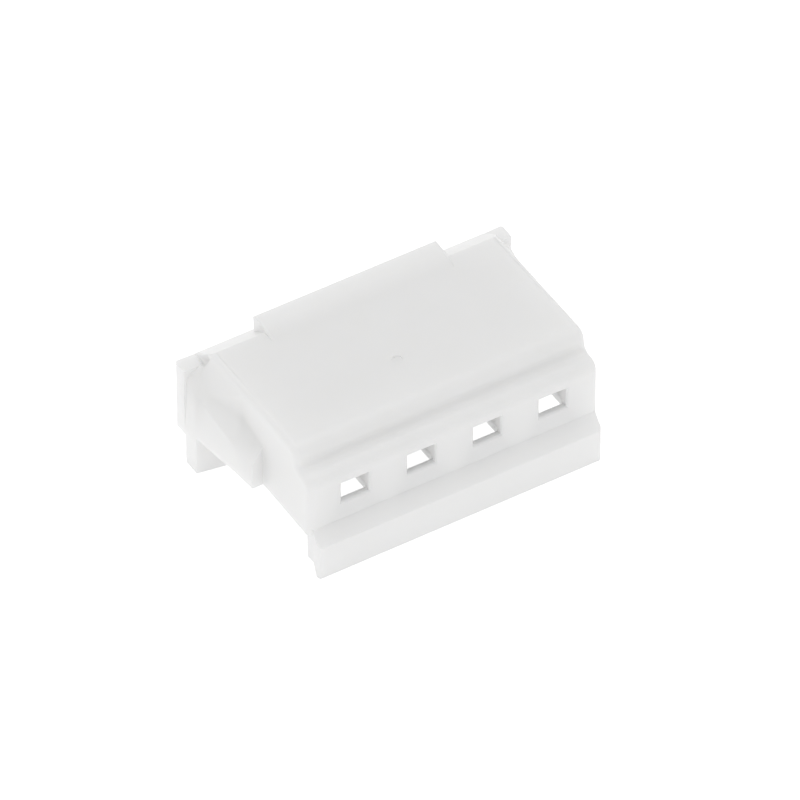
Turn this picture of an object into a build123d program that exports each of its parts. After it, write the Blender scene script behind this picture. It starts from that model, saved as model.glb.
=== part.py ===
from build123d import *
import os

os.makedirs("parts", exist_ok=True)

# Four-way crimp housing of a 1.0 mm pitch wire-to-board connector, moulded in one piece.
# Millimetres, +Z up, origin at the middle of the footprint, on the surface it rests on.
# +Y is the mating end, which enters the header on the board. The wires enter from -Y.
# Depths are measured from the mating face towards the wires, heights from the base up.

# Ways
pitch = 1.0
ways = 4

# Half-widths, each measured outwards from the middle of the outermost cavity
ear_margin = 1.0
body_margin = 0.70
lip_margin = 0.655
block_inset = 0.115

# Body, plateau and central block
depth = 3.05
front_setback = 0.17
ledge_length = 0.30
body_floor = 0.63
ear_top = 1.60
wing_slope_length = 0.42
plateau_rise = 0.30
plateau_front_radius = 0.20
ledge_radius = 0.18
ledge_root_radius = 0.09
side_edge_radius = 0.10
block_setback = 0.13
block_flat = 0.25
block_ramp = 0.25
block_rise = 0.08
block_edge_radius = 0.04

# Lip under the wire entries
lip_root_length = 0.13
lip_root_height = 0.74
lip_top = 0.53
lip_heel_height = 0.18
lip_heel_length = 0.14
lip_sole = 0.09
lip_edge_radius = 0.05

# Ears beside the mating end, each with a foot and a gusset
ear_thickness = 0.25
ear_bottom = 0.48
ear_corner_radius = 0.05
foot_width = 0.50
foot_length = 0.28
foot_skew = 0.08
gusset_shoulder_drop = 0.33
gusset_straight = 0.16
gusset_end = 1.25
gusset_top_drop = 0.04
gusset_tuck = 0.02

# How far the roots of ears, gussets and ribs reach inside the body
side_root = 0.10

# Side ribs, which fall from the ears to a low bar along the body
rib_lean = 0.05
rib_start_top = 1.49
rib_foot_top = 1.37
rib_bend = 1.35
rib_end = 1.72
rib_bend_proud = 0.19
rib_end_proud = 0.16
rib_bend_top = 1.10
rib_end_top = 1.06

# Heights that the sloping top of a rib reaches at its root, inside the body
rib_start_root = 1.70
rib_foot_root = 1.78
rib_bend_root = 1.60
rib_end_root = 1.50

# Terminal cavities, one for each way
cavity_width = 0.42
cavity_height = 0.32
cavity_middle = 1.19
mating_wall = 0.30
pin_hole_width = 0.28
entry_lead = 0.02
lead_angle = 45

# Windows in the underside, just behind the sill of each entry, for the latch of a contact
window_mouth = 0.78
window_slope = 68
window_length = 0.80
window_sill = 0.09

# Mark left by the moulding gate on the top
gate_offset = -0.18
gate_place = 1.75
gate_radius = 0.075
gate_sink = 0.02

# Overrun of a cut past the face that it opens through
overrun = 0.10

outer_way = (ways - 1) * pitch / 2
ear_half = outer_way + ear_margin
body_half = outer_way + body_margin
lip_half = outer_way + lip_margin
block_half = outer_way - block_inset
root_half = body_half - side_root
mating_face = depth / 2
front_face = depth - front_setback
plateau_end = front_face - ledge_length
lip_back = front_face - lip_root_length
window_start = front_face - window_sill
plateau_top = ear_top + plateau_rise
block_top = plateau_top + block_rise
shoulder_height = ear_top - gusset_shoulder_drop
foot_front = ear_thickness + foot_length
gusset_half = ear_half - rib_lean
gusset_start = ear_thickness + gusset_straight
gusset_taper = (gusset_end - gusset_start) / (gusset_half - body_half)
way_places = [(way - (ways - 1) / 2) * pitch for way in range(ways)]
both_sides = (-1, 1)


def place(back):
    """Y of what lies this far back from the mating face, towards the wires."""
    return mating_face - back


def section_plane(back):
    """Upright plane across the part, this far back from the mating face."""
    return Plane.XZ.offset(-place(back))


def side_outline(*corners):
    """Closed outline on the side plane, from corners given as depth, height and radius."""
    points = [(place(back), height) for back, height, radius in corners]
    radii = [radius for back, height, radius in corners]
    return FilletPolyline(*points, radius=radii, close=True)


def plan_outline(side, *corners):
    """Closed outline seen from above, from corners given as half-width and depth."""
    return Polyline(*[(side * half, place(back)) for half, back in corners], close=True)


def gusset_plan(side, half, start, taper_start):
    """Plan of a gusset: how far out its face is, where it starts and where it tapers."""
    return plan_outline(
        side,
        (root_half, start),
        (half, start),
        (half, taper_start),
        (root_half, gusset_end + side_root * gusset_taper),
    )


with BuildPart() as housing:
    # Body and plateau: one side outline, with the roundings of the wire end
    with BuildSketch(Plane.YZ):
        with BuildLine():
            side_outline(
                (0, body_floor, 0),
                (0, ear_top, 0),
                (wing_slope_length, plateau_top, 0),
                (plateau_end, plateau_top, plateau_front_radius),
                (plateau_end, ear_top, ledge_root_radius),
                (front_face, ear_top, ledge_radius),
                (front_face, body_floor, 0),
            )
        make_face()
    extrude(amount=body_half, both=True)

    # A small rounding follows that outline down both sides of the wire end
    for side in both_sides:
        side_edges = housing.edges().filter_by_position(
            Axis.X, side * body_half, side * body_half)
        rising_edges = side_edges.filter_by_position(
            Axis.Z, body_floor, block_top, (False, True))
        wire_end_edges = rising_edges.filter_by_position(
            Axis.Y, place(front_face), place(wing_slope_length))
        fillet(wire_end_edges, side_edge_radius)

    # Central block, raised a little above the plateau, with a ramp down to it
    with BuildSketch(Plane.YZ):
        with BuildLine():
            side_outline(
                (block_setback, ear_top, 0),
                (block_setback, block_top, block_edge_radius),
                (block_setback + block_flat, block_top, 0),
                (block_setback + block_flat + block_ramp, plateau_top, 0),
                (block_setback + block_flat + block_ramp, ear_top, 0),
            )
        make_face()
    extrude(amount=block_half, both=True)

    # Lip under the wire entries: the wire end stands on its narrow sole
    with BuildSketch(Plane.YZ):
        with BuildLine():
            side_outline(
                (lip_back, lip_root_height, 0),
                (lip_back, lip_heel_height, 0),
                (lip_back + lip_heel_length, lip_heel_height, 0),
                (depth - lip_sole, 0, 0),
                (depth, 0, 0),
                (depth, lip_top, 0),
                (front_face, lip_root_height, 0),
            )
        make_face()
    extrude(amount=lip_half, both=True)
    lip_front = housing.faces().sort_by(Axis.Y)[0]
    upper_edges = lip_front.edges().sort_by(Axis.Z)[1:]
    fillet(upper_edges, lip_edge_radius)

    # Ears: a thin plate on each side of the mating face, with its outer corner rounded
    ear_reach = ear_half - root_half
    with BuildSketch(Plane.XY.offset(ear_bottom)) as ear_plan:
        for side in both_sides:
            with Locations((side * (root_half + ear_reach / 2), place(ear_thickness / 2))):
                Rectangle(ear_reach, ear_thickness)
        mating_corners = ear_plan.vertices().group_by(Axis.Y)[-1].sort_by(Axis.X)
        fillet([mating_corners[0], mating_corners[-1]], ear_corner_radius)
    extrude(amount=ear_top - ear_bottom)

    for side in both_sides:
        # Foot: the lower, set-back part of the ear, which the mating end stands on
        with BuildSketch(Plane.XY):
            with BuildLine():
                plan_outline(
                    side,
                    (ear_half, ear_thickness),
                    (ear_half, foot_front),
                    (ear_half - foot_width, foot_front + foot_skew),
                    (ear_half - foot_width, ear_thickness),
                )
            make_face()
        extrude(amount=body_floor)

        # Gusset: it tapers from the ear into the body, first upright
        with BuildSketch(Plane.XY.offset(body_floor)):
            with BuildLine():
                gusset_plan(side, gusset_half, ear_thickness, gusset_start)
            make_face()
        extrude(amount=shoulder_height - body_floor)

        # Then it leans in, as a shoulder that meets the rounded edge of the plateau
        with BuildSketch(Plane.XY.offset(shoulder_height)):
            with BuildLine():
                gusset_plan(side, gusset_half, ear_thickness, gusset_start)
            make_face()
        with BuildSketch(Plane.XY.offset(plateau_top - gusset_top_drop)):
            with BuildLine():
                gusset_plan(side, body_half - gusset_tuck, wing_slope_length,
                            gusset_end + gusset_tuck * gusset_taper)
            make_face()
        loft(ruled=True)

        # Rib: it falls from the ear to a low bar along the body, and its top slopes outwards
        for back, half, lean, top, root_top in (
            (ear_thickness, ear_half, rib_lean, rib_start_top, rib_start_root),
            (foot_front, ear_half, rib_lean, rib_foot_top, rib_foot_root),
            (rib_bend, body_half + rib_bend_proud, 0, rib_bend_top, rib_bend_root),
            (rib_end, body_half + rib_end_proud, 0, rib_end_top, rib_end_root),
        ):
            with BuildSketch(section_plane(back)):
                with BuildLine():
                    Polyline(
                        (side * root_half, body_floor),
                        (side * half, body_floor),
                        (side * (half - lean), top),
                        (side * root_half, root_top),
                        close=True,
                    )
                make_face()
        loft(ruled=True)

    # Terminal cavities, open at the wire end
    with BuildSketch(section_plane(front_face)):
        for way_place in way_places:
            with Locations((way_place, cavity_middle)):
                Rectangle(cavity_width, cavity_height)
    extrude(amount=mating_wall - front_face, mode=Mode.SUBTRACT)

    # Narrow lead-in round each wire entry
    with BuildSketch(section_plane(front_face)):
        for way_place in way_places:
            with Locations((way_place, cavity_middle)):
                Rectangle(cavity_width + 2 * entry_lead, cavity_height + 2 * entry_lead)
    extrude(amount=-entry_lead, taper=lead_angle, mode=Mode.SUBTRACT)

    # Pin holes through the mating wall, one into each cavity
    with BuildSketch(section_plane(0)):
        for way_place in way_places:
            with Locations((way_place, cavity_middle)):
                Rectangle(pin_hole_width, pin_hole_width)
    extrude(amount=mating_wall + overrun, mode=Mode.SUBTRACT)

    # Latch windows, from the underside up into each cavity, widest at the underside
    window_height = cavity_middle - body_floor
    with BuildSketch(section_plane(window_start)):
        for way_place in way_places:
            with Locations((way_place, body_floor + window_height / 2)):
                Trapezoid(window_mouth, window_height, window_slope)
    extrude(amount=-window_length, mode=Mode.SUBTRACT)

    # Gate mark: a shallow round dimple in the top
    with BuildSketch(Plane.XY.offset(plateau_top)):
        with Locations((gate_offset, place(gate_place))):
            Circle(gate_radius)
    extrude(amount=-gate_sink, mode=Mode.SUBTRACT)

housing.part.label = "housing"
export_step(housing.part, "parts/housing.step")
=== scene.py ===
# %% [markdown]
# # A small connector housing in natural nylon
#
# The real object is a crimp housing only 5 mm wide, moulded in one shot of natural nylon.
# It holds the ends of fine wires and plugs into a header on a circuit board.
# The exact solid comes from the CAD model, which stays fixed. This lesson gives it the
# soft edges, the milky plastic, the light and the camera of a catalogue photograph.
# The CAD nodes arrive selected, and an operator acts on all that is selected, so
# everything is deselected before the first one.

import math

import bmesh
import bpy
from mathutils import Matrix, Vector


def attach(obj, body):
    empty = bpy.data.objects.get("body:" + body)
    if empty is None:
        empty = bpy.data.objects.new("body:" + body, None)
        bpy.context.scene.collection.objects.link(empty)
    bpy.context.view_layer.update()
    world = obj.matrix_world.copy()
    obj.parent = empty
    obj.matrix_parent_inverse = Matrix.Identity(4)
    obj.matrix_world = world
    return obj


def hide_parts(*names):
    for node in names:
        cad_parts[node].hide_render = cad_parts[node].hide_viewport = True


MM = 0.001

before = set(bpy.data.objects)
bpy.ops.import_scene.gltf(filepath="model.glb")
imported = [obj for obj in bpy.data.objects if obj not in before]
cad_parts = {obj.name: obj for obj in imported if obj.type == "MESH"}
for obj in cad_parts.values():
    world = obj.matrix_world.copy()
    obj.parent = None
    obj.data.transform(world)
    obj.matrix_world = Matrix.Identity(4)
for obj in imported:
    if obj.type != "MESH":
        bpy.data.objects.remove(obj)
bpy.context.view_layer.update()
bpy.ops.object.select_all(action="DESELECT")
print("CAD nodes:", sorted(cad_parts))

# %% [markdown]
# ## The moulding
#
# The CAD solid has perfectly sharp edges wherever no rounding was drawn. On its outside a
# moulding rarely has such edges: the mould leaves a radius of about two hundredths of a
# millimetre, and the thin line of light on it is what makes a tiny part look real.
# A voxel remesh would round all edges at once, but it would blur the small wire entries.
# So a Bevel modifier does it. The CAD mesh itself is left alone. It is made of loose
# triangles, so a copy of it is merged first, and its flat faces are joined.

# %% Copy the solid and join its flat faces
MERGE_DISTANCE = 0.002 * MM
FLAT_ANGLE = math.radians(0.6)

moulding = bpy.data.objects.new("moulding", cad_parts["housing"].data.copy())
bpy.context.scene.collection.objects.link(moulding)
bpy.context.view_layer.objects.active = moulding
moulding.select_set(True)

bpy.ops.object.mode_set(mode="EDIT")
bpy.ops.mesh.select_all(action="SELECT")
bpy.ops.mesh.remove_doubles(threshold=MERGE_DISTANCE)
bpy.ops.mesh.dissolve_limited(angle_limit=FLAT_ANGLE)
bpy.ops.object.mode_set(mode="OBJECT")
print("moulding after the merge:", len(moulding.data.polygons), "faces")

# %% [markdown]
# A bevel needs room. Where a drawn rounding ends, the solid has edges shorter than the
# bevel is wide, and they would throw spikes. So only the long outward edges get a bevel
# weight, which the modifier follows.
# Steel cores form the cavities, the pin holes and the windows. Their edges stay crisp, as
# they are where a core shuts against the mould, so two boxes keep the weights off them.

# %% Mark the long outward edges
SHARP_ANGLE = math.radians(50)
SHORTEST_EDGE = 0.12 * MM
# Each box is given by its lowest and its highest corner
CAVITY_BOX = (Vector((-2.0, -1.40, 0.66)) * MM, Vector((2.0, 1.54, 1.50)) * MM)
WINDOW_MOUTH_BOX = (Vector((-2.0, -1.25, 0.60)) * MM, Vector((2.0, 1.20, 0.66)) * MM)


def inside(point, box):
    """Whether a point lies in the box between two corners."""
    return all(low < value < high for low, value, high in zip(box[0], point, box[1]))


mesh = bmesh.new()
mesh.from_mesh(moulding.data)
weight = mesh.edges.layers.float.new("bevel_weight_edge")
marked = 0
for edge in mesh.edges:
    middle = (edge.verts[0].co + edge.verts[1].co) / 2
    in_core = inside(middle, CAVITY_BOX) or inside(middle, WINDOW_MOUTH_BOX)
    long_enough = edge.calc_length() > SHORTEST_EDGE
    sharp = edge.is_convex and edge.calc_face_angle(0) > SHARP_ANGLE
    if long_enough and sharp and not in_core:
        edge[weight] = 1.0
        marked += 1
mesh.to_mesh(moulding.data)
mesh.free()
print("edges to round:", marked)

# %% [markdown]
# Smooth shading hides the facets of the drawn roundings. Its limit of 18 degrees also
# softens the two ends of the ramp on the top, which turn by a little less, and keeps the
# edges of 22 degrees where the windows meet the cavities. The weighted normals follow
# the large faces, so that the flat faces look flat.
# The finished piece takes the place of the CAD node, which is hidden, and rides on its body.

# %% Round the marked edges
EDGE_RADIUS = 0.016 * MM
EDGE_SEGMENTS = 3
SMOOTH_ANGLE = math.radians(18)

rounding = moulding.modifiers.new("edge rounding", "BEVEL")
rounding.limit_method = "WEIGHT"
rounding.width = EDGE_RADIUS
rounding.segments = EDGE_SEGMENTS
rounding.use_clamp_overlap = False
bpy.ops.object.modifier_apply(modifier=rounding.name)
bpy.ops.object.shade_smooth_by_angle(angle=SMOOTH_ANGLE)
flat_shading = moulding.modifiers.new("flat faces stay flat", "WEIGHTED_NORMAL")
flat_shading.keep_sharp = True
bpy.ops.object.modifier_apply(modifier=flat_shading.name)
print("moulding after the rounding:", len(moulding.data.polygons), "faces")

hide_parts("housing")
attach(moulding, "root")

# %% [markdown]
# ## Helpers for the materials
#
# Colours are easiest to compare as sRGB hex values, as a paint program gives them.
# Blender's shaders work in linear light, so one function turns the first into the second.
# A new material or world comes with nodes of its own, so another function empties its
# tree. A third adds a node, sets its values and joins its inputs in one call.


# %% Colours and nodes
def linear(hex_colour):
    """Linear RGBA, by the sRGB standard, of a colour that is written as six hex digits."""
    channels = [int(hex_colour[i:i + 2], 16) / 255 for i in (0, 2, 4)]
    return [((c + 0.055) / 1.055) ** 2.4 if c > 0.04045 else c / 12.92 for c in channels] + [1]


def empty_tree(owner):
    """Node tree of a material or a world, with its own nodes removed."""
    owner.use_nodes = True
    owner.node_tree.nodes.clear()
    return owner.node_tree


def add_node(tree, kind, inputs=None, links=None, **settings):
    """Add a node with its settings, its input values and its links from other sockets."""
    node = tree.nodes.new(kind)
    for name, value in settings.items():
        setattr(node, name, value)
    for name, value in (inputs or {}).items():
        node.inputs[name].default_value = value
    for name, socket in (links or {}).items():
        tree.links.new(socket, node.inputs[name])
    return node


WHITE = linear("FFFFFF")
print("white in linear light:", WHITE)

# %% [markdown]
# ## Natural nylon
#
# Natural nylon 66 is milky white. Light enters it, scatters a few tenths of a millimetre
# and comes out again, so edges and thin walls glow a little. A plain white surface would
# look like chalk.
# The mould is spark eroded, which leaves a satin finish and an even grain of about
# 0.02 mm. That is too fine to show here, so the grain is drawn at 0.03 mm. A faint
# mottle, about half a millimetre across, stands for the flow of the plastic.
# Both are noise on the object's own coordinates, so nothing has to be unwrapped.

# %% Mottle and grain of the nylon
NYLON = "F0F0F0"
NYLON_FLOW = "EDEDEC"
FLOW_SIZE = 0.6 * MM
FLOW_DETAIL = 3.0
GRAIN_SIZE = 0.03 * MM
GRAIN_DETAIL = 2.0
GRAIN_DEPTH = 0.0006 * MM
GRAIN_STRENGTH = 0.6
# Sockets of the Mix node when it mixes colours: three inputs, then the output
FACTOR, FIRST, SECOND = 0, 6, 7
MIXED = 2

nylon = bpy.data.materials.new("natural nylon 66, spark eroded mould")
tree = empty_tree(nylon)
place = add_node(tree, "ShaderNodeTexCoord").outputs["Object"]
flow = add_node(
    tree,
    "ShaderNodeTexNoise",
    {"Scale": 1 / FLOW_SIZE, "Detail": FLOW_DETAIL},
    {"Vector": place},
)
flow_colour = add_node(
    tree,
    "ShaderNodeMix",
    {FIRST: linear(NYLON), SECOND: linear(NYLON_FLOW)},
    {FACTOR: flow.outputs["Fac"]},
    data_type="RGBA",
)
grain = add_node(
    tree,
    "ShaderNodeTexNoise",
    {"Scale": 1 / GRAIN_SIZE, "Detail": GRAIN_DETAIL},
    {"Vector": place},
)
grain_bump = add_node(
    tree,
    "ShaderNodeBump",
    {"Strength": GRAIN_STRENGTH, "Distance": GRAIN_DEPTH},
    {"Height": grain.outputs["Fac"]},
)
print("mottle and grain:", len(tree.nodes), "nodes")

# %% [markdown]
# The Principled shader has its own subsurface scattering, which needs no volume inside
# the mesh. Its radius is given for red, green and blue: red light goes a little deeper.
# The index of refraction is that of nylon.

# %% The milky plastic
NYLON_IOR = 1.53
SATIN = 0.42
SCATTER_SHARE = 0.7
SCATTER_DEPTH = 0.45 * MM
SCATTER_BY_COLOUR = (1.0, 0.98, 0.95)

plastic = add_node(
    tree,
    "ShaderNodeBsdfPrincipled",
    {
        "Roughness": SATIN,
        "IOR": NYLON_IOR,
        "Subsurface Weight": SCATTER_SHARE,
        "Subsurface Radius": SCATTER_BY_COLOUR,
        "Subsurface Scale": SCATTER_DEPTH,
    },
    {"Base Color": flow_colour.outputs[MIXED], "Normal": grain_bump.outputs["Normal"]},
)
add_node(tree, "ShaderNodeOutputMaterial", links={"Surface": plastic.outputs["BSDF"]})
moulding.data.materials.clear()
moulding.data.materials.append(nylon)
print(moulding.name, "is made of", nylon.name)

# %% [markdown]
# ## A light table
#
# The housing stands on a sheet of white acrylic that is lit from below, as small parts
# often are. A plain white floor would need so much lamp light to come out white that the
# housing would clip. A flat square is enough for it, because only its surface is seen.

# %% The sheet
TABLE_SIZE = 400 * MM

bpy.ops.object.select_all(action="DESELECT")
bpy.ops.mesh.primitive_plane_add(size=TABLE_SIZE)
table = bpy.context.object
table.name = "table"
print("table:", [round(side / MM) for side in table.dimensions], "mm")

# %% [markdown]
# The acrylic is a dull white surface with a glow added to it. The glow throws light up at
# the lower edges of the housing and into its cavities. To the camera the sheet glows more
# than it does to the housing, so it comes out white and the shadow stays faint.

# %% Its acrylic and its glow
TABLE = "F2F2F2"
TABLE_GLOW = 0.31
TABLE_SEEN = 0.58

acrylic = bpy.data.materials.new("white acrylic sheet, lit from below")
tree = empty_tree(acrylic)
sheet = add_node(tree, "ShaderNodeBsdfDiffuse", {"Color": linear(TABLE)})
ray = add_node(tree, "ShaderNodeLightPath")
seen = add_node(
    tree,
    "ShaderNodeMath",
    links={0: ray.outputs["Is Camera Ray"], 1: ray.outputs["Is Glossy Ray"]},
    operation="MAXIMUM",
)
level = add_node(
    tree,
    "ShaderNodeMath",
    {1: TABLE_SEEN - TABLE_GLOW, 2: TABLE_GLOW},
    {0: seen.outputs["Value"]},
    operation="MULTIPLY_ADD",
)
glow = add_node(
    tree, "ShaderNodeEmission", {"Color": WHITE}, {"Strength": level.outputs["Value"]}
)
both = add_node(
    tree, "ShaderNodeAddShader", links={0: sheet.outputs["BSDF"], 1: glow.outputs["Emission"]}
)
add_node(tree, "ShaderNodeOutputMaterial", links={"Surface": both.outputs["Shader"]})
table.data.materials.append(acrylic)
print("glow of the table:", TABLE_GLOW, "to the housing,", TABLE_SEEN, "to the camera")

# %% [markdown]
# ## Soft light
#
# A part this small is photographed in a light tent: white cloth all round, a little
# brighter above and behind. One bare lamp would throw a hard shadow instead. Two large
# lamps, one above and one behind, give each face its own shade of white.

# %% Two large lamps
LAMP_DISTANCE = 60 * MM
LAMP_SIZE = 50 * MM
BACK_DIRECTION = (-0.1, 1.0, 0.7)
BACK_LEVEL = 0.18
TOP_DIRECTION = (0.0, 0.0, 1.0)
TOP_LEVEL = 0.60


def soft_lamp(name, direction, level):
    """Add a square lamp that shines on the housing from a direction.

    Its power grows with the square of its distance, so the level alone says how bright
    it makes the housing.
    """
    data = bpy.data.lights.new(name, "AREA")
    data.shape = "SQUARE"
    data.size = LAMP_SIZE
    data.energy = level * math.pi * LAMP_DISTANCE ** 2
    lamp = bpy.data.objects.new(name, data)
    lamp.location = Vector(direction).normalized() * LAMP_DISTANCE
    lamp.rotation_euler = Vector(direction).to_track_quat("Z", "Y").to_euler()
    bpy.context.scene.collection.objects.link(lamp)
    print(name, "at", [round(value / MM) for value in lamp.location], "mm")


soft_lamp("back lamp", BACK_DIRECTION, BACK_LEVEL)
soft_lamp("top lamp", TOP_DIRECTION, TOP_LEVEL)

# %% [markdown]
# The world stands for the cloth. It lights the housing at its own level, and the camera
# sees it as plain white, because a strength of 1 is white in the Standard view.

# %% The tent
TENT_LEVEL = 0.69
PLAIN_WHITE = 1.0

world = bpy.data.worlds.new("light tent")
bpy.context.scene.world = world
tree = empty_tree(world)
ray = add_node(tree, "ShaderNodeLightPath")
cloth = add_node(tree, "ShaderNodeBackground", {"Color": WHITE, "Strength": TENT_LEVEL})
backdrop = add_node(tree, "ShaderNodeBackground", {"Color": WHITE, "Strength": PLAIN_WHITE})
tent = add_node(
    tree,
    "ShaderNodeMixShader",
    links={
        0: ray.outputs["Is Camera Ray"],
        1: cloth.outputs["Background"],
        2: backdrop.outputs["Background"],
    },
)
add_node(tree, "ShaderNodeOutputWorld", links={"Surface": tent.outputs["Shader"]})
bpy.context.scene.view_settings.view_transform = "Standard"
print("tent:", TENT_LEVEL, "to the housing,", PLAIN_WHITE, "to the camera")

# %% [markdown]
# ## The camera
#
# The photograph looks down on the wire entries from the left, through a long lens, so
# parallel edges stay parallel. An orthographic camera would show nearly the same, but a
# photograph is taken with a lens. The camera is placed by the point that it looks at, the
# direction it looks in and the width of the view there.

# %% Place the camera
AZIMUTH = math.radians(31.45)
ELEVATION = math.radians(43.45)
AIM = Vector((0.176, 0.289, 0.584)) * MM
VIEW_WIDTH = 10.44 * MM
LENS = 540.0
SENSOR = 36.0
CLOSEST = 10 * MM
FARTHEST = 2000 * MM

towards = Vector((
    -math.sin(AZIMUTH) * math.cos(ELEVATION),
    -math.cos(AZIMUTH) * math.cos(ELEVATION),
    math.sin(ELEVATION),
))
lens = bpy.data.cameras.new("long lens")
lens.lens = LENS
lens.sensor_width = SENSOR
lens.clip_start = CLOSEST
lens.clip_end = FARTHEST
camera = bpy.data.objects.new("camera", lens)
camera.location = AIM + towards * VIEW_WIDTH * LENS / SENSOR
camera.rotation_euler = towards.to_track_quat("Z", "Y").to_euler()
bpy.context.scene.collection.objects.link(camera)
bpy.context.scene.camera = camera
print("camera:", round((camera.location - AIM).length / MM, 1), "mm from what it looks at")
